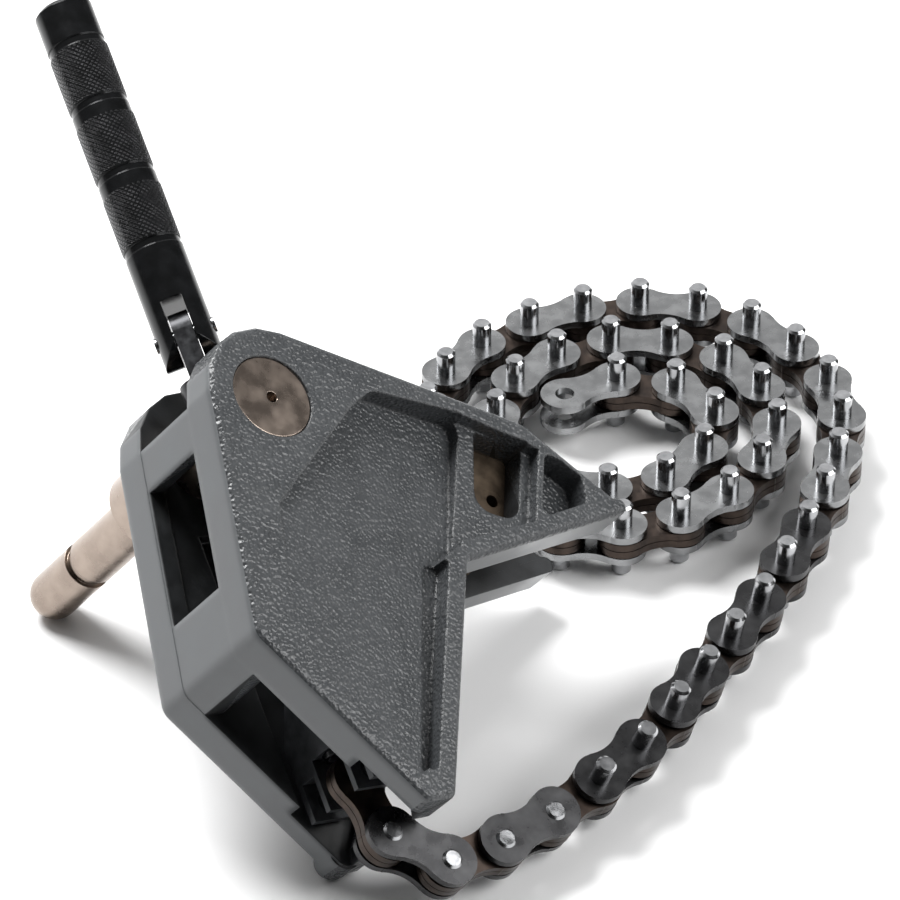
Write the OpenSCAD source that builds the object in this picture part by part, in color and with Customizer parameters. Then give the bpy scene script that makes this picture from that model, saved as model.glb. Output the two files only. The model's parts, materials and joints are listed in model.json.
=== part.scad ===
// Chain pipe vise, lying on its far side plate with its leaf chain coiled beside it.
// The casting is described in its own axes: X along the upper jaw arm, Y up the
// screw towards the handle, Z across the width. One placement lays it on the table,
// resting on the guide pin's tip, the arm's tip and the lower arm's end.

/* [Casting] */
// Width of the casting across its two side plates
body_w = 45; // [43:0.5:48]
// Thickness of each side plate at the jaw faces
jaw_t = 11.2; // [10.5:0.1:11.3]
// Radius of the casting's round about the guide pin
boss_r = 19.3; // [17:0.1:20]
// Distance of that round's centre beyond the guide pin's axis
boss_x = 1.8; // [0:0.1:2.5]
// Reach of the upper arm, from the guide pin's axis to its tip
arm_reach = 96.7; // [92:0.1:102]
// Length of the nose at the arm's tip
nose_len = 3; // [2:0.5:5]
// Distance from the guide pin's axis to the outer corner of the arm
arm_corner_x = 73.7; // [68:0.1:78]
// Drop of that corner below the guide pin's axis
arm_corner_drop = 13; // [10:0.1:16]
// Distance of the vee's apex beyond the guide pin's axis
vee_x = 40.2; // [38:0.1:44]
// Drop of the vee's apex below the guide pin's axis
vee_drop = 48.1; // [44:0.1:52]
// Included angle of the vee that grips the pipe
vee_angle = 125.8; // [118:0.1:130]
// Slope of the upper jaw face
arm_slope = 8.3; // [4:0.1:12]
// Length of the lower jaw face
low_arm_len = 67; // [58:0.5:70]
// Thickness of the arm at its tip
tip_t = 4.4; // [4.3:0.1:6]
// Distance of the back wall's fold behind the guide pin's axis
fold_x = 30.4; // [28:0.1:34]
// Drop of the fold below the guide pin's axis
fold_drop = 60.4; // [58:0.1:68]
// Distance of the heel beyond the guide pin's axis
heel_x = 0.8; // [0:0.1:5]
// Drop of the heel below the guide pin's axis
heel_drop = 107.8; // [104:0.1:114]
// Height of the far arm's tip above the table
tip_lift = 4.7; // [0:0.1:6]
// Thickness of the back wall
wall_t = 5; // [4:0.2:6]
// Radius of the round on the casting's outer edges
edge_r = 1.7; // [1.2:0.1:1.9]
// Radius of the foot that the lower arm rests on
foot_r = 4.5; // [4:0.1:6]
// Height of that foot below the far side plate
foot_out = 3.9; // [1:0.1:5]
// Depth of the deep pockets in the side plates
pocket_d = 7.6; // [6:0.1:8]
// Depth of the floor around the side window
ledge_d = 4; // [3:0.1:5]

/* [Back wall windows] */
// Width of the windows between the side plates
back_window_w = 21; // [18:0.5:22]
// Drop of the upper window's top edge
upper_window_top = 7.5; // [6:0.5:10]
// Drop of the upper window's lower edge
upper_window_low = 43; // [38:0.5:48]
// Drop of the lower window's top edge, from where it runs out at the heel
lower_window_top = 66; // [65:0.5:74]

/* [Guide pin] */
// Diameter of the guide pin in the side plates
guide_d = 22; // [20:0.5:24]
// Diameter of the guide pin's stub
stub_d = 13; // [12:0.2:14]
// Distance from the middle of the casting to the stub's far end
stub_reach = 91.5; // [86:0.5:96]
// Distance from the middle of the casting to the guide pin's shoulder
guide_shoulder = 38; // [34:0.5:42]
// Width of the groove round the stub
groove_w = 3; // [2:0.2:4]
// Depth of that groove
groove_d = 0.9; // [0.5:0.1:1.4]
// Distance from the middle of the casting to the groove
groove_at = 67; // [62:0.5:72]

/* [Screw and handle] */
// Diameter of the screw
screw_d = 12; // [10:0.5:13]
// Lead of the screw, in one turn
screw_lead = 3; // [2:0.5:4]
// Distance from the guide pin's axis to the handle's hinge pin
hinge_at = 29; // [28:0.5:31]
// Thickness of the tongue that the handle folds on
tongue_t = 5; // [4:0.2:6]
// Diameter of the handle
handle_d = 15; // [14:0.2:16]
// Distance from the hinge pin to the handle's free end
handle_len = 93.5; // [86:0.5:100]
// Diameter of the hinge pin
hinge_d = 4; // [3:0.2:5]
// Turn of the hinge pin about the screw in the photographed pose
hinge_turn = 41; // [0:1:90]

/* [Yoke] */
// Distance from the guide pin's axis to the yoke's anchor pin
anchor_at = 92; // [88:0.5:94]
// Width of the yoke across its cheeks
yoke_w = 28; // [26:0.5:29]
// Front to back depth of the yoke
yoke_depth = 11; // [10:0.5:12]
// Height of the yoke's wall that the screw's end turns in
yoke_wall = 17.4; // [15:0.2:18]

/* [Chain] */
// Pitch of the chain
pitch = 15.875; // [15.4:0.005:16.2]
// Number of chain links, outer and inner ones together
chain_links = 50; // [46:2:50]
// Height of a link plate
plate_h = 12.9; // [12:0.1:13.1]
// Thickness of a link plate
plate_t = 2.03; // [1.8:0.01:2.1]
// Height of a link plate at its waist
waist_h = 9.4; // [8.6:0.1:10.4]
// Diameter of the chain pins
chain_pin_d = 5.08; // [4.8:0.02:5.3]
// Length of the long chain pins that hang in the claws
chain_pin_len = 22.2; // [21.6:0.1:22.4]

/* [Placement] */
// Turn of the vise on the table
table_turn = -25.7; // [-40:0.1:-10]

/* [Hidden] */
$fn = 64;
overrun = 1;
turn_fit = 0.1;
slide_fit = 0.3;
press_fit = 0.02;
plate_gap = 0.3;
inner_gap = 0.24;
link_fit = 0.14;
run_fit = 0.3;
run_gap = 0.7;
arc_steps = 5;
loose_links = 9;

anchor_out = 0.9;
snap_t = 0.7;

gap_w = body_w - 2 * jaw_t;
half_w = body_w / 2;
half_gap = gap_w / 2;
anchor_half = yoke_w / 2 + anchor_out;
guide_r = guide_d / 2;
stub_r = stub_d / 2;
screw_r = screw_d / 2;
handle_r = handle_d / 2;
chain_pin_r = chain_pin_d / 2;
stack_half = inner_gap / 2 + 2 * plate_t + run_gap;

// Which links swing one by one, which lie together in the coil, and which end the chain
run_links = 13;
end_links = 4;
end_from = chain_links - end_links;
turn_split = run_links + 18;

// Small vector functions
function unit(v) = v / norm(v);
function mix(a, b, t) = a + (b - a) * t;
function side(v) = [-v.y, v.x];
function polar(r, a) = r * [cos(a), sin(a)];

// Tangent point on a circle about the origin of the line that comes from q
function tangent(q, r, way) = polar(r, atan2(q.y, q.x) + way * acos(r / norm(q)));

// Where the lines a-b and c-d cross
function crossing(a, b, c, d) =
    a + (b - a) * cross(c - a, d - c) / cross(b - a, d - c);

// A corner rounded to radius r, drawn in by inset
function corner(a, p, b, r, inset) =
    let (u = unit(a - p), v = unit(b - p), half = acos(u * v) / 2,
         turns = cross(p - a, b - p) > 0 ? 1 : -1,
         c = p + unit(u + v) * r / sin(half),
         from = p + u * r / tan(half) - c, to = p + v * r / tan(half) - c,
         a0 = atan2(from.y, from.x), a1 = atan2(to.y, to.x),
         sweep = ((a1 - a0 + 540) % 360) - 180)
    [for (k = [0:arc_steps]) c + polar(r - turns * inset, a0 + sweep * k / arc_steps)];

function rounded(points, radii, inset = 0) =
    let (n = len(points))
    [for (k = [0:n - 1]) each corner(points[(k + n - 1) % n], points[k],
                                     points[(k + 1) % n], radii[k], inset)];

// Outline of a side plate, counter-clockwise
vee = [vee_x, -vee_drop];
jaw_up = polar(1, arm_slope);
jaw_down = polar(1, arm_slope - vee_angle);
tip_low = vee + jaw_up * (arm_reach - vee_x) / jaw_up.x;
tip_top = tip_low + [0, tip_t];
arm_corner = [arm_corner_x, -arm_corner_drop];
low_end = vee + jaw_down * low_arm_len;
fold = [-fold_x, -fold_drop];
heel = [heel_x, -heel_drop];
neck = tip_top - jaw_up * nose_len;
boss = [boss_x, 0];
wall_tangent = boss + tangent(fold - boss, boss_r, -1);
top_tangent = boss + tangent(arm_corner - boss, boss_r, 1);
boss_corner = crossing(fold, wall_tangent, arm_corner, top_tangent);

apex_r = 3;
tip_r = 2.1;
neck_r = 2;
arm_corner_r = 10;
low_end_r = 2.4;
heel_r = 3;
fold_r = 5;
outline_points = [vee, tip_low, tip_top, neck, arm_corner, boss_corner, fold, heel, low_end];
outline_radii = [apex_r, tip_r, tip_r, neck_r, arm_corner_r, boss_r, fold_r, heel_r, low_end_r];

// From here the whole outline is in sight, so a fan of triangles can cap a plate
heart = vee - jaw_up * boss_r + side(jaw_up) * tip_t * 0.7;

// A plate whose upper outer edge is rounded, as one closed skin of rings
module edged_plate(points, radii, height, r) {
    steps = 3;
    rings = concat(
        [rounded(points, radii)],
        [for (k = [0:steps]) rounded(points, radii, r * (1 - cos(90 * k / steps)))]);
    heights = concat([0], [for (k = [0:steps]) height - r + r * sin(90 * k / steps)]);
    n = len(rings[0]);
    layers = len(rings);
    polyhedron(
        concat([for (j = [0:layers - 1]) for (p = rings[j]) [p.x, p.y, heights[j]]],
               [[heart.x, heart.y, 0], [heart.x, heart.y, height]]),
        concat(
            [for (i = [0:n - 1]) [i, (i + 1) % n, layers * n]],
            [for (i = [0:n - 1])
                [(layers - 1) * n + (i + 1) % n, (layers - 1) * n + i, layers * n + 1]],
            [for (j = [0:layers - 2]) for (i = [0:n - 1])
                [j * n + i, (j + 1) * n + i, (j + 1) * n + (i + 1) % n, j * n + (i + 1) % n]]));
}

// Stance on the table: up, in the casting's axes, from three rounds that touch it
stub_centre = [0, 0, -(stub_reach - stub_r)];
foot_at = heel + unit(unit(fold - heel) + unit(low_end - heel)) * foot_r;
low_centre = [foot_at.x, foot_at.y, foot_r - foot_out - half_w];
tip_centre = [tip_low.x, tip_low.y, -half_w]
    + concat(unit([-1, 0] + side([1, 0])) * tip_r * 1.2, [edge_r]);
function lean_of(m) = norm([m.x, m.y]);
function stance(m, n) = n == 0 ? m :
    let (up_now = m, r3 = edge_r + (tip_r - edge_r) * lean_of(m),
         u = unit(low_centre - tip_centre - up_now * (foot_r - r3 - tip_lift)),
         v = stub_centre - low_centre,
         flat = v - (v * u) * u, w = unit(cross(u, v)), up = unit(flat),
         rise = (stub_r - foot_r) / norm(flat), high = sqrt(1 - rise * rise),
         found = rise * up + high * w)
    stance(found.z > 0 ? found : rise * up - high * w, n - 1);
up = stance([0, 0, 1], 5);
lean = acos(up.z);
spin = atan2(up.y, -up.x);
rest_height = stub_r - up * stub_centre;

function turned(v, a) = [v.x * cos(a) - v.y * sin(a), v.x * sin(a) + v.y * cos(a), v.z];
function leaned(v, a) = [v.x * cos(a) + v.z * sin(a), v.y, v.z * cos(a) - v.x * sin(a)];
function to_table(v) = turned(leaned(turned(v, spin), lean), table_turn);

// Directions of the casting's axes on the table
jaw_axis = to_table([1, 0, 0]);
screw_axis = to_table([0, 1, 0]);
guide_axis = to_table([0, 0, 1]);

// The chain's route, in pitches, as seen from above the guide pin's middle
route_shares = [
    [5.00, -4.19, 0.68], [6.42, -2.65, 0.75], [7.45, -0.92, 0.72],
    [8.45, 0.80, 0.72], [9.27, 2.60, 0.71], [9.85, 4.30, 0.701], [9.90, 6.10, 0.70], [8.80, 7.75, 0.70],
    [7.00, 8.50, 0.70], [5.05, 8.05, 0.70], [3.50, 6.75, 0.70], [3.10, 4.80, 0.70],
    [4.30, 3.05, 0.70], [6.30, 2.50, 0.70], [8.10, 3.45, 0.70], [8.90, 5.30, 0.70],
    [8.05, 6.95, 0.70], [6.25, 7.45, 0.70], [4.65, 6.50, 0.70], [4.25, 4.70, 0.70],
    [5.60, 3.45, 0.70], [7.30, 3.95, 0.70], [7.85, 5.60, 0.70], [6.60, 6.45, 0.70],
    [5.15, 5.70, 0.70], [5.00, 4.40, 0.70]];
coil_height = chain_pin_len / 2;
run_rise_share = 0.7;
first_swing = 10;
second_swing = 50;
second_off_share = 0.15;
anchor_point = to_table([0, -anchor_at, 0]) + [0, 0, rest_height];
first_point = anchor_point + pitch * to_table([sin(first_swing), -cos(first_swing), 0]);
second_point = first_point + pitch
    * to_table(unit([sin(second_swing), -cos(second_swing), second_off_share]));
route_points = concat(
    [anchor_point, first_point, second_point],
    [for (s = route_shares)
        [s.x * pitch, s.y * pitch, coil_height + (s.z - run_rise_share) * pitch]]);

// A smooth curve through the route's points, and pins stepped along it at the pitch
function spline(a, b, c, d, t) =
    0.5 * (2 * b + (c - a) * t + (2 * a - 5 * b + 4 * c - d) * t * t
           + (3 * b - a - 3 * c + d) * t * t * t);
samples = 24;
fine_route = [for (k = [1:len(route_points) - 3]) for (j = [0:samples - 1])
    spline(route_points[k - 1], route_points[k], route_points[k + 1], route_points[k + 2],
           j / samples)];
function reach(p, k) = norm(fine_route[k + 1] - p) >= pitch ? k : reach(p, k + 1);
function stepped(p, k) =
    let (a = fine_route[k] - p, s = fine_route[k + 1] - fine_route[k],
         qa = s * s, qb = 2 * (a * s), qc = a * a - pitch * pitch)
    fine_route[k] + s * (sqrt(qb * qb - 4 * qa * qc) - qb) / (2 * qa);
function walk(p, k, n) = n == 0 ? [p] :
    let (at = reach(p, k)) concat([p], walk(stepped(p, at), at, n - 1));
chain_points = concat([anchor_point], walk(first_point, 0, chain_links - 1));

// The pins tip from the guide pin's direction to upright, a little at every outer link
facing_shares = [
    [0.45, -0.36, 0.82], [0.35, -0.33, 0.88], [0.27, -0.24, 0.93], [0.20, -0.15, 0.97],
    [0.13, -0.08, 0.99], [0.06, -0.03, 1.00]];
function square_to(v, u) = unit(v - (v * u) * u);
function link_way(k) = unit(chain_points[k + 1] - chain_points[k]);
outer_up = [for (k = [1:2:chain_links - 1])
    square_to(k > 2 * len(facing_shares) ? [0, 0, 1] : facing_shares[(k - 1) / 2], link_way(k))];
function pin_up(k) = k < 0 ? guide_axis : outer_up[(k - 1) / 2];
function link_up(k) = k % 2 == 1 ? pin_up(k)
    : square_to(pin_up(k - 1) + pin_up(min(k + 1, chain_links - 1)), link_way(k));

// Everything stands with the middle of its box over the origin
function reach_of(up, axis) = plate_h / 2 * sqrt(1 - pow(up * axis, 2));
x_reach = [for (p = chain_points) p.x + plate_h / 2];
y_reach = [for (p = chain_points) p.y + plate_h / 2];
y_low = [for (k = [0:chain_links - 1]) for (end = [k, k + 1])
    chain_points[end].y - reach_of(link_up(k), [0, 1, 0]) - abs(link_up(k).y) * stack_half];
heel_y = (to_table([heel.x, heel.y, half_w])).y;
stub_low_x = (to_table(stub_centre)).x - stub_r;
handle_low_x = (to_table([0, hinge_at + handle_len, 0])).x
    - handle_r * sqrt(1 - pow(screw_axis.x, 2));
home = [-(max(x_reach) + min(stub_low_x, handle_low_x)) / 2,
        -(max(y_reach) + min(min(y_low), heel_y)) / 2, rest_height];

module on_table() {
    translate(home) rotate([0, 0, table_turn]) rotate([0, lean, 0]) rotate([0, 0, spin])
        children();
}

module along_screw() {
    rotate([-90, 0, 0]) children();
}

// Side plate with its pockets, on the near side; the far one is its mirror image.
// Places on it are shares of the arm's reach, from the guide pin's axis
function placed(shares) = [for (s = shares) s * arm_reach];
panel_tilt = 6;
panel_flush_share = [-0.176, -0.620];
panel_shares = [
    [0.338, -0.485], [0.385, -0.461], [0.405, -0.461], [0.571, -0.138], [0.577, -0.094],
    [0.310, -0.006], [0.228, -0.048], [-0.103, -0.290], [-0.207, -0.651], [0.018, -1.055],
    [0.054, -1.019]];
panel_radius_shares = [0.031, 0.010, 0.006, 0.006, 0.026, 0.052, 0.041, 0.031, 0.041, 0.021, 0.021];
channel_shares = [
    [0.354, -0.491], [0.307, -0.481], [0.029, -1.040], [0.075, -1.034], [0.189, -0.812]];
ledge_shares = [
    [0.410, -0.445], [0.565, -0.138], [0.575, -0.097], [0.722, -0.178], [0.780, -0.214],
    [0.678, -0.413]];
pocket_shares = [
    [0.794, -0.223], [0.837, -0.252], [0.884, -0.304], [0.869, -0.378], [0.699, -0.406]];
window_shares = [
    [0.625, -0.130], [0.759, -0.192], [0.657, -0.395], [0.532, -0.341]];
window_radius_shares = [0.010, 0.016, 0.052, 0.052];
channel_r = 1.5;
pocket_r = 2;
ledge_r = 0.5;
relief_w = anchor_half + snap_t;
relief_x = 8.8;
relief_back = 9.2;
relief_top = 20;
channel_wall = 1.1;
channel_d = half_w - relief_w - channel_wall;
relief_points = [
    [-relief_back, -relief_top], [-relief_back, heel.y - 0.8 * wall_t],
    heel + wall_t * [0.2, -0.8], low_end + wall_t * [-1, 0.8],
    [relief_x, low_end.y + 2 * wall_t], [relief_x, -relief_top]];

module side_plate() {
    difference() {
        translate([0, 0, half_gap])
            edged_plate(outline_points, outline_radii, jaw_t, edge_r);
        panel();
        deep_pocket(channel_shares, channel_r, channel_d);
        deep_pocket(pocket_shares, pocket_r, pocket_d);
        deep_pocket(ledge_shares, ledge_r, ledge_d);
        translate([0, 0, half_gap - overrun]) linear_extrude(jaw_t + 2 * overrun)
            polygon(rounded(placed(window_shares), window_radius_shares * arm_reach));
        translate([0, 0, half_gap - overrun]) linear_extrude(relief_w - half_gap + overrun)
            polygon(relief_points);
    }
}

module deep_pocket(shares, r, depth) {
    translate([0, 0, half_w - depth]) linear_extrude(depth + overrun)
        polygon(rounded(placed(shares), [for (s = shares) r]));
}

module panel() {
    flush = panel_flush_share * arm_reach;
    translate([flush.x, flush.y, half_w]) rotate([0, panel_tilt, 0])
        translate([-flush.x, -flush.y, 0]) linear_extrude(pocket_d * 2)
            polygon(rounded(placed(panel_shares), panel_radius_shares * arm_reach));
}

// Back wall between the plates. It has a window above the fold and is open below it
wall_foot = mix(fold, heel, (lower_window_top - fold_drop) / (heel_drop - fold_drop))
    + [wall_t * 1.2, 0];
module back_wall() {
    difference() {
        translate([0, 0, -half_gap - overrun]) linear_extrude(gap_w + 2 * overrun)
            intersection() {
                polygon(rounded(outline_points, outline_radii, wall_skin));
                polygon([wall_tangent + [-wall_t, 0], fold + [-wall_t, 0],
                         [fold.x - wall_t, -lower_window_top], [wall_foot.x, -lower_window_top],
                         fold + [wall_t * 1.1, 0], wall_tangent + [wall_t * 0.9, 0]]);
            }
        translate([-fold_x * 2, -upper_window_low, -back_window_w / 2])
            cube([fold_x * 2 + boss_r, upper_window_low - upper_window_top, back_window_w]);
    }
}
wall_skin = 0.1;

// Bridge that ties the plates along the arm's top edge
bridge_from = 24;
bridge_to = 46;
bridge_t = 4;
module bridge() {
    a = top_tangent + unit(arm_corner - top_tangent) * (bridge_from - top_tangent.x);
    b = top_tangent + unit(arm_corner - top_tangent) * (bridge_to - top_tangent.x);
    in = side(unit(a - b));
    translate([0, 0, -half_gap - overrun]) linear_extrude(gap_w + 2 * overrun)
        polygon([a + in, a + in * bridge_t, b + in * bridge_t, b + in]);
}

module foot() {
    translate(low_centre) {
        sphere(r = foot_r);
        cylinder(r = foot_r, h = jaw_t / 2);
    }
}

dowel_d = 4;
dowel_in = 3;
dowel_shares = [[0.481, -0.416], [0.651, -0.120]];
dowel_places = placed(dowel_shares);

module frame_casting() {
    color("dimgray") on_table() difference() {
        union() {
            side_plate();
            mirror([0, 0, 1]) side_plate();
            back_wall();
            bridge();
            foot();
        }
        translate([0, 0, -half_w - overrun])
            cylinder(r = guide_r + turn_fit, h = body_w + 2 * overrun);
        for (p = dowel_places) translate([p.x, p.y, -half_gap - dowel_in])
            cylinder(d = dowel_d, h = gap_w + 2 * dowel_in);
    }
}

// Hardened claws that the long chain pins hang behind
claw_t = 5;
claw_shares = [
    [0.517, -0.077], [0.686, -0.133], [0.776, -0.182], [0.751, -0.292], [0.689, -0.403],
    [0.476, -0.455], [0.450, -0.403], [0.558, -0.228]];
throat_share = [0.564, -0.062];
throat_w = 5.8;
throat_deep = 9;
sleeve_share = [0.666, -0.296];
sleeve_at = sleeve_share * arm_reach;
sleeve_d = 6.4;
sleeve_bore = 3.4;
claw_hole_share = [0.585, -0.326];
claw_hole_d = 7;

module claw(way) {
    throat = throat_share * arm_reach;
    difference() {
        translate([0, 0, way > 0 ? half_gap - claw_t : -half_gap]) linear_extrude(claw_t)
            difference() {
                polygon(placed(claw_shares));
                translate([throat.x - throat_w / 2, throat.y - throat_deep])
                    square([throat_w, throat_deep + overrun]);
            }
        for (p = concat([for (q = dowel_places) [q, dowel_d]], [[sleeve_at, sleeve_d],
                        [claw_hole_share * arm_reach, claw_hole_d]]))
            translate([p[0].x, p[0].y, -half_gap - overrun])
                cylinder(r = p[1] / 2 + press_fit, h = gap_w + 2 * overrun);
    }
}

module claw_near() {
    color("darkgoldenrod") on_table() claw(1);
}

module claw_far() {
    color("darkgoldenrod") on_table() claw(-1);
}

module claw_sleeve() {
    length = gap_w - 2 * press_fit;
    color("dimgray") on_table() translate([sleeve_at.x, sleeve_at.y, -length / 2])
        difference() {
            cylinder(d = sleeve_d, h = length);
            translate([0, 0, -overrun]) cylinder(d = sleeve_bore, h = length + 2 * overrun);
        }
}

module claw_dowels() {
    long = claw_t + dowel_in - press_fit;
    color("silver") on_table() for (p = dowel_places) for (way = [0, 1])
        mirror([0, 0, way]) translate([p.x, p.y, half_gap - claw_t])
            cylinder(r = dowel_d / 2 - press_fit, h = long);
}

// Guide pin, turned in one piece, which is also the screw's nut
centre_drill_d = 3;
module guide_pin() {
    face = half_w - 0.2 * edge_r;
    color("rosybrown") on_table() difference() {
        rotate_extrude() polygon(concat(
            [[0, face], [guide_r - slide_fit, face], [guide_r, face - slide_fit],
             [guide_r, -guide_shoulder + slide_fit],
             [guide_r - slide_fit, -guide_shoulder], [stub_r, -guide_shoulder],
             [stub_r, -groove_at + groove_w / 2], [stub_r - groove_d, -groove_at + groove_w / 2],
             [stub_r - groove_d, -groove_at - groove_w / 2], [stub_r, -groove_at - groove_w / 2],
             [stub_r, stub_centre.z], [0, stub_centre.z]]));
        along_screw() translate([0, 0, -guide_d]) cylinder(r = screw_r + turn_fit, h = 2 * guide_d);
        translate([0, 0, face - centre_drill_d]) cylinder(d = centre_drill_d, h = 2 * centre_drill_d);
    }
    color("rosybrown") on_table() translate(stub_centre) difference() {
        sphere(r = stub_r);
        cylinder(r = stub_d, h = stub_d);
    }
}

// Screw spindle: a tongue for the handle, the thread, and a journal in the yoke
ring_t = 1.4;
yoke_top = anchor_at - plate_h / 2 - yoke_wall - ring_t - 2 * slide_fit;
journal_r = screw_r * 0.66;
tongue_w = screw_d;
tongue_gap = 5;
tongue_from = guide_r + tongue_gap;
spindle_end = yoke_top + yoke_wall + ring_t + slide_fit;

module screw_spindle() {
    color("dimgray") on_table() {
        difference() {
            union() {
                along_screw() translate([0, 0, -yoke_top + slide_fit])
                    cylinder(r = screw_r, h = yoke_top - slide_fit + tongue_from);
                along_screw() translate([0, 0, -spindle_end])
                    cylinder(r = journal_r, h = spindle_end - yoke_top + 2 * slide_fit);
                along_hinge() linear_extrude(tongue_t, center = true) tongue_outline();
            }
            along_hinge() cylinder(r = hinge_d / 2 + turn_fit, h = screw_d * 2, center = true);
        }
    }
}

// Frame with its origin on the hinge pin, Z along the pin and Y up the screw
module along_hinge() {
    translate([0, hinge_at, 0]) rotate([0, 90 - hinge_turn, 0]) children();
}

module tongue_outline() {
    circle(r = tongue_w / 2);
    translate([-tongue_w / 2, tongue_from - hinge_at - slide_fit])
        square([tongue_w, hinge_at - tongue_from + slide_fit]);
}

module spindle_ring() {
    color("black") on_table() along_screw() translate([0, 0, -spindle_end])
        difference() {
            cylinder(r = half_chain_slot - slide_fit, h = ring_t);
            translate([0, 0, -overrun]) cylinder(r = journal_r + press_fit, h = ring_t + 2 * overrun);
        }
}

// Folding handle: a fork over the tongue, then the grip with its three bands
fork_room = 2;
fork_deep = tongue_w / 2 + fork_room;
band_shares = [0.265, 0.43, 0.485, 0.647, 0.699, 0.862];
band_groove = 0.25;
grip_chamfer = 1;
module handle() {
    color([0.05, 0.05, 0.055]) on_table() difference() {
        union() {
            translate([0, hinge_at, 0]) along_screw() {
                cylinder(r = handle_r, h = handle_len - grip_chamfer);
                translate([0, 0, handle_len - grip_chamfer])
                    cylinder(r1 = handle_r, r2 = handle_r - grip_chamfer, h = grip_chamfer);
            }
            along_hinge() intersection() {
                cylinder(r = handle_r, h = handle_d, center = true);
                rotate([90, 0, 0]) cylinder(r = handle_r, h = handle_d, center = true);
            }
        }
        along_hinge() {
            translate([-handle_d, -handle_d, -tongue_t / 2 - slide_fit])
                cube([2 * handle_d, handle_d + fork_deep, tongue_t + 2 * slide_fit]);
            cylinder(r = hinge_d / 2 + press_fit, h = handle_d * 2, center = true);
        }
        for (k = [0:2:4]) translate([0, hinge_at + handle_len * (band_shares[k] - band_gap), 0])
            along_screw() band(handle_len * band_gap);
        translate([0, hinge_at + handle_len * band_shares[5], 0])
            along_screw() band(handle_len * band_gap);
    }
}
band_gap = 0.02;

module band(width) {
    difference() {
        cylinder(r = handle_r + overrun, h = width);
        translate([0, 0, -overrun]) cylinder(r = handle_r - band_groove, h = width + 2 * overrun);
    }
}

hinge_out = 0.4;
module handle_hinge_pin() {
    length = handle_d + 2 * hinge_out;
    color("dimgray") on_table() along_hinge() cylinder(d = hinge_d, h = length, center = true);
}

// Yoke on the screw's end, with the chain between its cheeks
half_chain_slot = 5.4;
cheek_slot_w = 5;
cheek_slot_at = 9.6;
yoke_lip = 1.6;
yoke_toe = 4.6;
yoke_foot = anchor_at + yoke_toe;
yoke_shoulder_drop = 11;
module chain_yoke() {
    color("slategray") on_table() difference() {
        translate([-yoke_depth / 2, 0, 0]) rotate([0, 90, 0]) linear_extrude(yoke_depth)
            difference() {
                polygon([
                    [-half_chain_slot - yoke_lip, -yoke_top], [half_chain_slot + yoke_lip, -yoke_top],
                    [yoke_w / 2, -yoke_top - yoke_shoulder_drop], [yoke_w / 2, -yoke_foot],
                    [-yoke_w / 2, -yoke_foot], [-yoke_w / 2, -yoke_top - yoke_shoulder_drop]]);
                translate([-half_chain_slot, -yoke_foot - overrun])
                    square([2 * half_chain_slot, yoke_foot - yoke_top - yoke_wall + overrun]);
                for (way = [-1, 1])
                    translate([way * cheek_slot_at - cheek_slot_w / 2, -yoke_foot - overrun])
                        square([cheek_slot_w, yoke_foot - cheek_slot_top + overrun]);
            }
        along_screw() translate([0, 0, -anchor_at]) cylinder(r = journal_r + turn_fit, h = anchor_at);
        translate([0, -anchor_at, -yoke_w]) cylinder(r = chain_pin_r + press_fit, h = 2 * yoke_w);
    }
}
cheek_slot_over = 5;
cheek_slot_top = anchor_at - cheek_slot_over;

module anchor_pin() {
    color("silver") on_table() translate([0, -anchor_at, -anchor_half])
        cylinder(r = chain_pin_r, h = 2 * anchor_half);
}

// Snap rings that keep the anchor pin from sliding out of the cheeks
module anchor_rings() {
    color("black") on_table() for (way = [0, 1]) mirror([0, 0, way])
        translate([0, -anchor_at, yoke_w / 2 + press_fit]) difference() {
            cylinder(r = chain_pin_r * 1.5, h = snap_t);
            translate([0, 0, -overrun]) cylinder(r = chain_pin_r + press_fit, h = snap_t + 2 * overrun);
        }
}

// Leaf chain: a plate's outline has two round ends and a waist drawn in by two large arcs
waist_r = (pow(pitch / 2, 2) + pow(waist_h / 2, 2) - pow(plate_h / 2, 2)) / (plate_h - waist_h) * 0.9;
waist_side_share = 0.46;
module plate(hole_r, holes) {
    linear_extrude(plate_t) difference() {
        union() {
            for (x = [0, pitch]) translate([x, 0]) circle(d = plate_h);
            translate([0, -plate_h * waist_side_share])
                square([pitch, 2 * plate_h * waist_side_share]);
        }
        for (way = [-1, 1]) translate([pitch / 2, way * (waist_h / 2 + waist_r)])
            circle(r = waist_r);
        for (x = holes) translate([x, 0]) circle(r = hole_r);
    }
}

function outer_from(k) = inner_gap / 2 + plate_t + (k < loose_links ? run_gap : plate_gap);
function fit_of(k) = k < loose_links ? run_fit : link_fit;

// Lays a link's own axes, X along it and Z along its pins, on the chain's route
module on_link(k) {
    u = link_way(k);
    w = link_up(k);
    v = cross(w, u);
    at = chain_points[k] + [home.x, home.y, 0];
    multmatrix([[u.x, v.x, w.x, at.x], [u.y, v.y, w.y, at.y], [u.z, v.z, w.z, at.z],
                [0, 0, 0, 1]])
        children();
}

module inner_link(k) {
    color("sienna") on_link(k) for (way = [0, 1]) mirror([0, 0, way])
        translate([0, 0, inner_gap / 2]) plate(chain_pin_r + fit_of(k), [0, pitch]);
}

module outer_plates(k) {
    color("slategray") on_link(k) for (way = [0, 1]) mirror([0, 0, way])
        translate([0, 0, outer_from(k)]) plate(chain_pin_r + press_fit, [0, pitch]);
}

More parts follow.
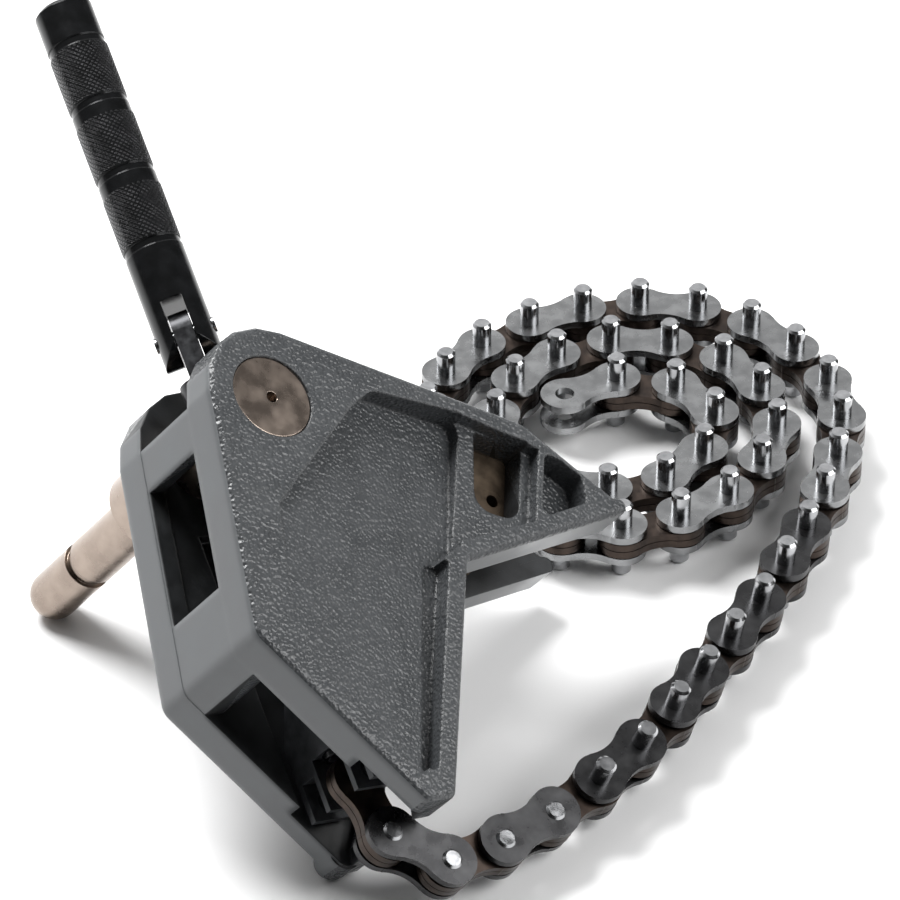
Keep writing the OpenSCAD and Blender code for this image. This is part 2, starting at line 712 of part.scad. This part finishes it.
short_pins = 4;
rivet_out = 0.7;
function pin_half(k) = k < short_pins ? stack_half + rivet_out : chain_pin_len / 2;
pin_chamfer = 0.6;
module link_pin(k) {
    rotate_extrude() polygon([
        [0, -pin_half(k)], [chain_pin_r - pin_chamfer, -pin_half(k)],
        [chain_pin_r, -pin_half(k) + pin_chamfer], [chain_pin_r, pin_half(k) - pin_chamfer],
        [chain_pin_r - pin_chamfer, pin_half(k)], [0, pin_half(k)]]);
}

module outer_pins(k) {
    color("gray") on_link(k) for (x = [0, pitch]) translate([x, 0, 0]) link_pin(k);
}

module end_pin(k) {
    color("gray") on_link(k) link_pin(k);
}

module each_link(from, to, odd) {
    for (k = [from:to - 1]) if (k % 2 == odd) {
        $link = k;
        children();
    }
}

frame_casting();
claw_near();
claw_far();
claw_sleeve();
claw_dowels();
guide_pin();
screw_spindle();
spindle_ring();
handle();
handle_hinge_pin();
chain_yoke();
anchor_pin();
anchor_rings();
inner_link(0);  // link_00_inner
outer_plates(1);  // link_01_plates
outer_pins(1);  // link_01_pins
inner_link(2);  // link_02_inner
outer_plates(3);  // link_03_plates
outer_pins(3);  // link_03_pins
inner_link(4);  // link_04_inner
outer_plates(5);  // link_05_plates
outer_pins(5);  // link_05_pins
inner_link(6);  // link_06_inner
outer_plates(7);  // link_07_plates
outer_pins(7);  // link_07_pins
inner_link(8);  // link_08_inner
outer_plates(9);  // link_09_plates
outer_pins(9);  // link_09_pins
inner_link(10);  // link_10_inner
outer_plates(11);  // link_11_plates
outer_pins(11);  // link_11_pins
inner_link(12);  // link_12_inner
each_link(run_links, turn_split, 1) outer_plates($link);  // coil_a_plates
each_link(run_links, turn_split, 0) inner_link($link);  // coil_a_inners
each_link(run_links, turn_split, 1) outer_pins($link);  // coil_a_pins
each_link(turn_split, end_from, 1) outer_plates($link);  // coil_b_plates
each_link(turn_split, end_from, 0) inner_link($link);  // coil_b_inners
each_link(turn_split, end_from, 1) outer_pins($link);  // coil_b_pins
inner_link(end_from);  // end_1_inner
outer_plates(end_from + 1);  // end_2_plates
outer_pins(end_from + 1);  // end_2_pins
inner_link(end_from + 2);  // end_3_inner
outer_plates(end_from + 3);  // end_4_plates
end_pin(end_from + 3);  // end_4_pin
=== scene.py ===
# %% Chain pipe vise: setting up
# %% [markdown]
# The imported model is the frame. Every solid is already in place, in metres, so this
# script gives each of them its finish, adds the fine detail that cutting tools leave
# (knurling and the screw's thread), and sets up a small studio.
import bpy
import bmesh
import json
import math
from mathutils import Matrix, Vector


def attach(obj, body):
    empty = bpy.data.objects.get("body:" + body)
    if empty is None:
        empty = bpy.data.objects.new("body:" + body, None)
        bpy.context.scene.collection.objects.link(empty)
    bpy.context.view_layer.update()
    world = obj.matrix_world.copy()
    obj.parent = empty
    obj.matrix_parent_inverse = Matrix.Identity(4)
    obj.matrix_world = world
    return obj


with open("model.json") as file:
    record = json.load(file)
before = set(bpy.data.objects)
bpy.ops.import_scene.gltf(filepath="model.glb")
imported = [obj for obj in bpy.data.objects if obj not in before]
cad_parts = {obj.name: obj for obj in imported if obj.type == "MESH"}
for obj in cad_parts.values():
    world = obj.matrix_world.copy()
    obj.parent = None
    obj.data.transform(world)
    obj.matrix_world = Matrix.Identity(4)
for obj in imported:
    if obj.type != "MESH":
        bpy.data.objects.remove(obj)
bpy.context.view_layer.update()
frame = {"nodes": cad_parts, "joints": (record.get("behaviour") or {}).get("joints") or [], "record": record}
nodes = frame["nodes"]
MM = 0.001

# %% The casting's own axes
# %% [markdown]
# The vise lies at an angle, so it is easier to think in the casting's own axes: along
# the upper arm, up the screw, and across the width. The joints know two of them. The
# handle's fold and the screw's turn give the rest.
joint = {j["name"]: j for j in frame["joints"]}
WIDTH = Vector(joint["guide_pin_swing"]["axis"])
SCREW = Vector(joint["yoke_travel"]["axis"])
ARM = SCREW.cross(WIDTH)
FOLD = Vector(joint["handle_fold"]["axis"])
PIVOT = Vector(joint["guide_pin_swing"]["pos_m"])
HINGE = Vector(joint["handle_fold"]["pos_m"])
print("arm", tuple(round(v, 3) for v in ARM))


def local(point):
    """A point of the row frame in the casting's own axes, in millimetres."""
    v = (point - PIVOT) / MM
    return Vector((v.dot(ARM), v.dot(SCREW), v.dot(WIDTH)))


def frame_at(origin, x, z):
    """A matrix with its origin there, its X along x and its Z along z."""
    y = z.cross(x)
    m = Matrix((x, y, z)).transposed().to_4x4()
    m.translation = origin
    return m


# %% Colours and nodes
# %% [markdown]
# Colours are written as they look on a screen and turned into linear values once.


def linear(hex_code):
    values = [int(hex_code[i:i + 2], 16) / 255 for i in (1, 3, 5)]
    return tuple(v / 12.92 if v <= 0.04045 else ((v + 0.055) / 1.055) ** 2.4 for v in values) + (1.0,)


def add(tree, kind, links=None, **values):
    """Adds a shader node, sets its properties and sockets, and links its inputs."""
    node = tree.nodes.new(kind)
    for name, value in values.items():
        if hasattr(node, name):
            setattr(node, name, value)
        else:
            node.inputs[name.replace("_", " ")].default_value = value
    for name, source in (links or {}).items():
        tree.links.new(source, node.inputs[name])
    return node


def ramp(tree, source, stops):
    node = add(tree, "ShaderNodeValToRGB", {"Fac": source})
    while len(node.color_ramp.elements) < len(stops):
        node.color_ramp.elements.new(0.5)
    for element, (place, colour) in zip(node.color_ramp.elements, stops):
        element.position = place
        element.color = linear(colour)
    return node.outputs["Color"]


# A noise texture keeps near its middle, so the tones and the gloss use that part of it
MOTTLE_LOW = 0.35
MOTTLE_HIGH = 0.65
MOTTLE_TOP = 0.68


def finish(name, dark, light, metallic=0.0, rough=(0.3, 0.5), grain=2.0, bump_mm=0.0, bump_size=1.0,
           kind="noise", edge_mm=0.0):
    """A finish with two mottled tones, a varying gloss and, if asked, a bump and soft edges."""
    mat = bpy.data.materials.new(name)
    mat.use_nodes = True
    tree = mat.node_tree
    tree.nodes.clear()
    out = add(tree, "ShaderNodeOutputMaterial")
    shader = add(tree, "ShaderNodeBsdfPrincipled", Metallic=metallic)
    place = add(tree, "ShaderNodeTexCoord").outputs["Object"]
    mottle = add(tree, "ShaderNodeTexNoise", {"Vector": place}, Scale=1 / (grain * MM), Detail=4.0)
    fac = mottle.outputs["Fac"]
    tones = ramp(tree, fac, ((MOTTLE_LOW, dark), (MOTTLE_TOP, light)))
    tree.links.new(tones, shader.inputs["Base Color"])
    gloss = add(tree, "ShaderNodeMapRange", {"Value": fac}, From_Min=MOTTLE_LOW, From_Max=MOTTLE_HIGH,
                To_Min=rough[0], To_Max=rough[1])
    tree.links.new(gloss.outputs["Result"], shader.inputs["Roughness"])
    normal = None
    if edge_mm:
        soft = add(tree, "ShaderNodeBevel", samples=6, Radius=edge_mm * MM)
        normal = soft.outputs["Normal"]
    if bump_mm:
        if kind == "hammer":
            cells = add(tree, "ShaderNodeTexVoronoi", {"Vector": place}, feature="SMOOTH_F1",
                        Scale=1 / (bump_size * MM))
            height = cells.outputs["Distance"]
        else:
            height = add(tree, "ShaderNodeTexNoise", {"Vector": place}, Scale=1 / (bump_size * MM),
                         Detail=3.0).outputs["Fac"]
        bump = add(tree, "ShaderNodeBump", {"Height": height}, Distance=bump_mm * MM, Strength=1.0)
        if normal:
            tree.links.new(normal, bump.inputs["Normal"])
        normal = bump.outputs["Normal"]
    if normal:
        tree.links.new(normal, shader.inputs["Normal"])
    tree.links.new(shader.outputs["BSDF"], out.inputs["Surface"])
    return mat


# %% Finishes
# %% [markdown]
# The casting has a dark hammered paint, whose dimples give the eye small lights all
# over. Its jaw faces are machined and reflect in long streaks, and the back wall is
# smoother and a little lighter; between the side plates it gets a painted shade. The
# chain is oiled steel: bright plates in the coil, a painted shade on the plates of the
# run, browned inner plates and bright ground pins. The handle is black oxide, deep and
# glossy, and its knurled bands are painted a little brighter as a painted highlight
# that stands in for the glints on the knurl.
HAMMERED = finish("hammered grey paint", "#3b3d3f", "#414345", rough=(0.26, 0.34), grain=9.0,
                  bump_mm=0.4, bump_size=0.9, kind="hammer", edge_mm=1.2)
SMOOTH = finish("smooth grey paint", "#56585a", "#5d6062", rough=(0.36, 0.46), grain=12.0,
                bump_mm=0.015, bump_size=0.7, edge_mm=2.5)
# Painted shade: darker paint for the shade that falls between the side plates
PAINTED_SHADE_INSIDE = finish("painted shade inside", "#1c1d1e", "#26282a", rough=(0.4, 0.55), grain=6.0,
                bump_mm=0.05, bump_size=1.0, edge_mm=0.8)
JAW = finish("machined jaw face", "#5f6163", "#6c6e70", metallic=0.6, rough=(0.28, 0.36), grain=9.0,
             bump_mm=0.01, bump_size=0.5, edge_mm=0.6)
CLAW = finish("heat-tinted claw steel", "#4a3f33", "#5b4e40", metallic=0.7, rough=(0.35, 0.5), grain=3.0)
NICKEL = finish("nickel-grey turned steel", "#94877d", "#a89a8f", metallic=1.0, rough=(0.24, 0.34), grain=6.0,
                edge_mm=0.3)
SCREW_STEEL = finish("oiled screw steel", "#2d2d2f", "#3f4042", metallic=0.8, rough=(0.32, 0.45), grain=2.0)
OXIDE = finish("glossy black oxide", "#101112", "#17181a", metallic=0.5, rough=(0.16, 0.24), grain=4.0,
               edge_mm=0.4)
# Painted highlight: a grey much lighter than black oxide, standing in for the glints on the knurl
KNURLED_PAINTED_GLINT = finish("knurled black oxide with painted glints", "#6a6a6b", "#7a7a7c", metallic=1.0, rough=(0.2, 0.3), grain=3.0)
YOKE = finish("dark forged yoke steel", "#2b2d2f", "#3a3c3f", metallic=0.4, rough=(0.4, 0.55), grain=2.0,
              bump_mm=0.05, bump_size=0.8)
OUTER = finish("oiled outer plate steel", "#7e7f80", "#949596", metallic=1.0, rough=(0.2, 0.32), grain=5.0)
# Painted shade: a darker copy of the outer plate steel, standing in for the darker look of the run's plates
OUTER_PAINTED_SHADE = finish("outer plate steel with painted shade", "#3b3b3c", "#4b4b4c", metallic=0.95, rough=(0.24, 0.34),
                    grain=5.0)
INNER = finish("browned inner plate steel", "#352e2a", "#463c36", metallic=0.9, rough=(0.28, 0.4), grain=3.0)
PIN = finish("ground pin steel", "#9b9c9e", "#b4b5b7", metallic=1.0, rough=(0.14, 0.24), grain=3.0)

BY_SLOT = {"painted_iron": HAMMERED, "claw_steel": CLAW, "nickel_steel": NICKEL, "screw_steel": SCREW_STEEL,
           "black_oxide": OXIDE, "yoke_steel": YOKE, "outer_plate_steel": OUTER, "inner_plate_steel": INNER,
           "pin_steel": PIN}
for part in frame["record"]["subparts"]:
    piece = nodes[part["node"]]
    piece.data.materials.clear()
    finish_here = BY_SLOT[part["material_slot"]]
    # The plates of the run get the darker copy, a painted shade
    if finish_here is OUTER and part["node"].startswith("link"):
        finish_here = OUTER_PAINTED_SHADE
    piece.data.materials.append(finish_here)
print("finishes", len(BY_SLOT))

# %% Jaw faces and back wall
# %% [markdown]
# The faces that look out of the vee are the jaws. The faces that look backwards
# between the side plates are the back wall. What lies between the side plates, and
# doesn't look outwards, gets a painted shade: darker paint that stands in for the
# shade that falls between them.
casting = nodes["frame_casting"]
casting.data.materials.append(JAW)
casting.data.materials.append(SMOOTH)
casting.data.materials.append(PAINTED_SHADE_INSIDE)
# The vee's apex and the wall's fold, in millimetres from the pivot, and the ways that
# the two jaws and the two walls look, all in the casting's own axes
VEE = Vector((40.2, -48.1, 0))
FOLD_EDGE = Vector((-30.4, -60.4, 0))
UP_JAW = Vector((0.1444, -0.9895, 0))
LOW_JAW = Vector((0.8870, -0.4617, 0))
UP_BACK = Vector((-0.9793, 0.2026, 0))
LOW_BACK = Vector((-0.8353, -0.5498, 0))
# Half the width between the side plates, and how near to a plane a face counts as on
# it, in millimetres
INNER_HALF = 17.0
JAW_NEAR = 4.0
WALL_NEAR = -1.2
# How alike two directions must be, as the cosine between them
SAME_WAY = 0.98
ACROSS = 0.3
BACKWARDS = -0.7


def on_jaw(centre, normal, jaw):
    """Whether a face lies on a jaw's plane and looks the same way."""
    return normal.dot(jaw) > SAME_WAY and abs((centre - VEE).dot(jaw)) < JAW_NEAR


def on_wall(centre, normal):
    """Whether a face is on the back wall's outside."""
    out = max((centre - FOLD_EDGE).dot(UP_BACK), (centre - FOLD_EDGE).dot(LOW_BACK))
    return abs(normal.z) < ACROSS and normal.x < BACKWARDS and out > WALL_NEAR


count = [0, 0, 0]
for face in casting.data.polygons:
    centre = local(casting.matrix_world @ face.center)
    normal = Vector((face.normal.dot(ARM), face.normal.dot(SCREW), face.normal.dot(WIDTH)))
    if on_jaw(centre, normal, UP_JAW) or on_jaw(centre, normal, LOW_JAW):
        face.material_index = 1
        count[0] += 1
    elif on_wall(centre, normal):
        face.material_index = 2
        count[1] += 1
    # Faces between the side plates that don't look outwards get the painted shade
    elif abs(centre.z) < INNER_HALF and normal.z * centre.z <= 0:
        face.material_index = 3
        count[2] += 1
print("jaw faces", count[0], "wall faces", count[1], "inside faces", count[2])

# %% Edges that catch the light
# %% [markdown]
# Punched plates and turned pins have tiny rounds on their edges. A narrow bevel
# gives each edge its line of light.
EDGE_MM = 0.22
EDGE_FROM_DEGREES = 50
FORGED = ("chain_yoke", "claw_near", "claw_far")
for name, piece in nodes.items():
    if "plates" in name or "inner" in name or name in FORGED:
        bevel = piece.modifiers.new("edge", "BEVEL")
        bevel.width = EDGE_MM * MM
        bevel.segments = 2
        bevel.limit_method = "ANGLE"
        bevel.angle_limit = math.radians(EDGE_FROM_DEGREES)
        bevel.harden_normals = False

# %% A piece from a mesh
# %% [markdown]
# The bands and the thread are both made round their own axis and then put on the
# screw's line. This does what they share.


def make_piece(name, bm, matrix, material, body):
    """Makes a bmesh a piece that rides on a body."""
    mesh = bpy.data.meshes.new(name)
    bm.to_mesh(mesh)
    bm.free()
    piece = bpy.data.objects.new(name, mesh)
    bpy.context.scene.collection.objects.link(piece)
    piece.matrix_world = matrix
    piece.data.materials.append(material)
    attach(piece, body)
    return piece


def round_point(bm, radius, angle, height):
    """A vertex at a radius, an angle and a height, in millimetres."""
    return bm.verts.new((radius * math.cos(angle) * MM, radius * math.sin(angle) * MM, height * MM))


# %% Knurled bands on the handle
# %% [markdown]
# A diamond knurl is a grid of small pyramids. Each band is a sleeve whose radius
# rises and falls along two families of spiral lines.
HANDLE_R = 7.5
HANDLE_LEN = 93.5
BANDS = ((0.265, 0.43), (0.485, 0.647), (0.699, 0.862))
KNURL_DEPTH = 0.55
KNURL_CREST = 0.12
KNURL_AROUND = 34
KNURL_SAMPLES = 4


def spiral(turn):
    """From 0 on a groove's line to 1 halfway between two."""
    return abs((turn % 1) - 0.5) * 2


def knurl(name, start, length):
    bm = bmesh.new()
    pitch = 2 * math.pi * HANDLE_R / KNURL_AROUND
    columns = KNURL_AROUND * KNURL_SAMPLES
    lines = max(2, round(length / pitch)) * KNURL_SAMPLES
    rings = []
    for i in range(lines + 1):
        ring = []
        for j in range(columns):
            u = j / KNURL_SAMPLES
            v = i / KNURL_SAMPLES
            groove = max(0.0, 1 - 2 * min(spiral(u + v), spiral(u - v)))
            r = HANDLE_R + KNURL_CREST - KNURL_DEPTH * groove
            if i in (0, lines):
                r = HANDLE_R - KNURL_DEPTH
            ring.append(round_point(bm, r, 2 * math.pi * j / columns, length * i / lines))
        rings.append(ring)
    for low_ring, high_ring in zip(rings, rings[1:]):
        for j in range(columns):
            k = (j + 1) % columns
            bm.faces.new((low_ring[j], low_ring[k], high_ring[k], high_ring[j]))
    return make_piece(name, bm, frame_at(HINGE + SCREW * start * MM, FOLD, SCREW), KNURLED_PAINTED_GLINT, "handle")


for number, (low, high) in enumerate(BANDS):
    knurl("knurl_band_%d" % (number + 1), low * HANDLE_LEN, (high - low) * HANDLE_LEN)
print("knurled bands", len(BANDS))

# %% Thread of the screw
# %% [markdown]
# A screw's thread is one ridge that climbs by its lead in every turn. The ridge is a
# ribbon with a crest, bent round the screw where it can be seen.
SCREW_R = 6.0
LEAD = 3.0
THREAD_LOW = -64
THREAD_HIGH = -13
THREAD_HEIGHT = 0.45
THREAD_SUNK = 0.05
THREAD_STEPS = 32
# The ridge's section: how far out each corner is, and its share of the lead
SECTION = ((-THREAD_SUNK, 0.0), (THREAD_HEIGHT, 0.38), (THREAD_HEIGHT, 0.5), (-THREAD_SUNK, 0.88))


def thread(name, low, high):
    bm = bmesh.new()
    rows = []
    for i in range(int((high - low - LEAD) / LEAD * THREAD_STEPS) + 1):
        angle = 2 * math.pi * i / THREAD_STEPS
        base = low + LEAD * i / THREAD_STEPS
        rows.append([round_point(bm, SCREW_R + out, angle, base + share * LEAD) for out, share in SECTION])
    for a, b in zip(rows, rows[1:]):
        for k in range(len(SECTION)):
            n = (k + 1) % len(SECTION)
            bm.faces.new((a[k], b[k], b[n], a[n]))
    bm.faces.new(rows[0])
    bm.faces.new(rows[-1][::-1])
    bmesh.ops.recalc_face_normals(bm, faces=bm.faces)
    return make_piece(name, bm, frame_at(PIVOT, FOLD, SCREW), SCREW_STEEL, "screw")


thread("thread_in_casting", THREAD_LOW, THREAD_HIGH)
print("thread turns", round((THREAD_HIGH - THREAD_LOW) / LEAD))

# %% Studio
# %% [markdown]
# A wide pale floor, two large soft lights, a smaller one for the sheen, and a pale world.
FLOOR_HALF = 3.0
floor_mesh = bpy.data.meshes.new("floor")
bm = bmesh.new()
bmesh.ops.create_grid(bm, x_segments=1, y_segments=1, size=FLOOR_HALF)
bm.to_mesh(floor_mesh)
bm.free()
floor = bpy.data.objects.new("floor", floor_mesh)
bpy.context.scene.collection.objects.link(floor)
paper = bpy.data.materials.new("pale floor")
paper.use_nodes = True
paper_shader = paper.node_tree.nodes["Principled BSDF"]
paper_shader.inputs["Base Color"].default_value = linear("#f4f4f4")
paper_shader.inputs["Roughness"].default_value = 0.7
floor.data.materials.append(paper)


def soft_light(name, place, aim, size, power):
    data = bpy.data.lights.new(name, "AREA")
    data.shape = "DISK"
    data.size = size
    data.energy = power
    lamp = bpy.data.objects.new(name, data)
    bpy.context.scene.collection.objects.link(lamp)
    lamp.location = place
    lamp.rotation_euler = (Vector(aim) - Vector(place)).to_track_quat("-Z", "Y").to_euler()
    return lamp


# Each light's place and aim are in metres, then its size and its power
soft_light("key", (-0.45, 0.45, 0.9), (0, 0, 0.03), 0.6, 18)
soft_light("fill", (0.8, -0.3, 0.8), (0, 0, 0.03), 0.7, 9)
soft_light("sheen", (0.88, 0.1, 0.42), (-0.03, -0.05, 0.05), 0.25, 1.5)
# The room is bright overhead and behind to the left, and dim in front, which gives
# steel its contrast
BRIGHT_WAY = (-0.35, 0.73, 0.58)
GLOW = ((0.0, "#2c2c2c"), (0.4, "#6e6e6e"), (0.75, "#dcdcdc"), (0.9, "#ffffff"))
world = bpy.data.worlds.new("studio")
world.use_nodes = True
sky = world.node_tree
way = add(sky, "ShaderNodeTexCoord").outputs["Generated"]
height = add(sky, "ShaderNodeVectorMath", {0: way}, operation="DOT_PRODUCT")
height.inputs[1].default_value = BRIGHT_WAY
glow = ramp(sky, height.outputs["Value"], GLOW)
sky.links.new(glow, sky.nodes["Background"].inputs["Color"])
sky.nodes["Background"].inputs["Strength"].default_value = 1.0
bpy.context.scene.world = world
bpy.context.scene.view_settings.view_transform = "Standard"

# %% Camera
# %% [markdown]
# The photograph was taken with a long lens from 38.5 degrees above.
SENSOR_MM = 36
LENS_MM = 200
AIM_FROM_PIVOT = Vector((54.9, 61.6, 22.2))
camera_data = bpy.data.cameras.new("camera")
camera_data.sensor_width = SENSOR_MM
camera_data.lens = LENS_MM
camera_data.clip_end = 20
camera = bpy.data.objects.new("camera", camera_data)
bpy.context.scene.collection.objects.link(camera)
TARGET = Vector((PIVOT.x, PIVOT.y, 0)) + AIM_FROM_PIVOT * MM
DISTANCE = 1300 * MM
ELEVATION = math.radians(38.5)
camera.location = TARGET + DISTANCE * Vector((0, -math.cos(ELEVATION), math.sin(ELEVATION)))
camera.rotation_euler = (math.pi / 2 - ELEVATION, 0, 0)
bpy.context.scene.camera = camera
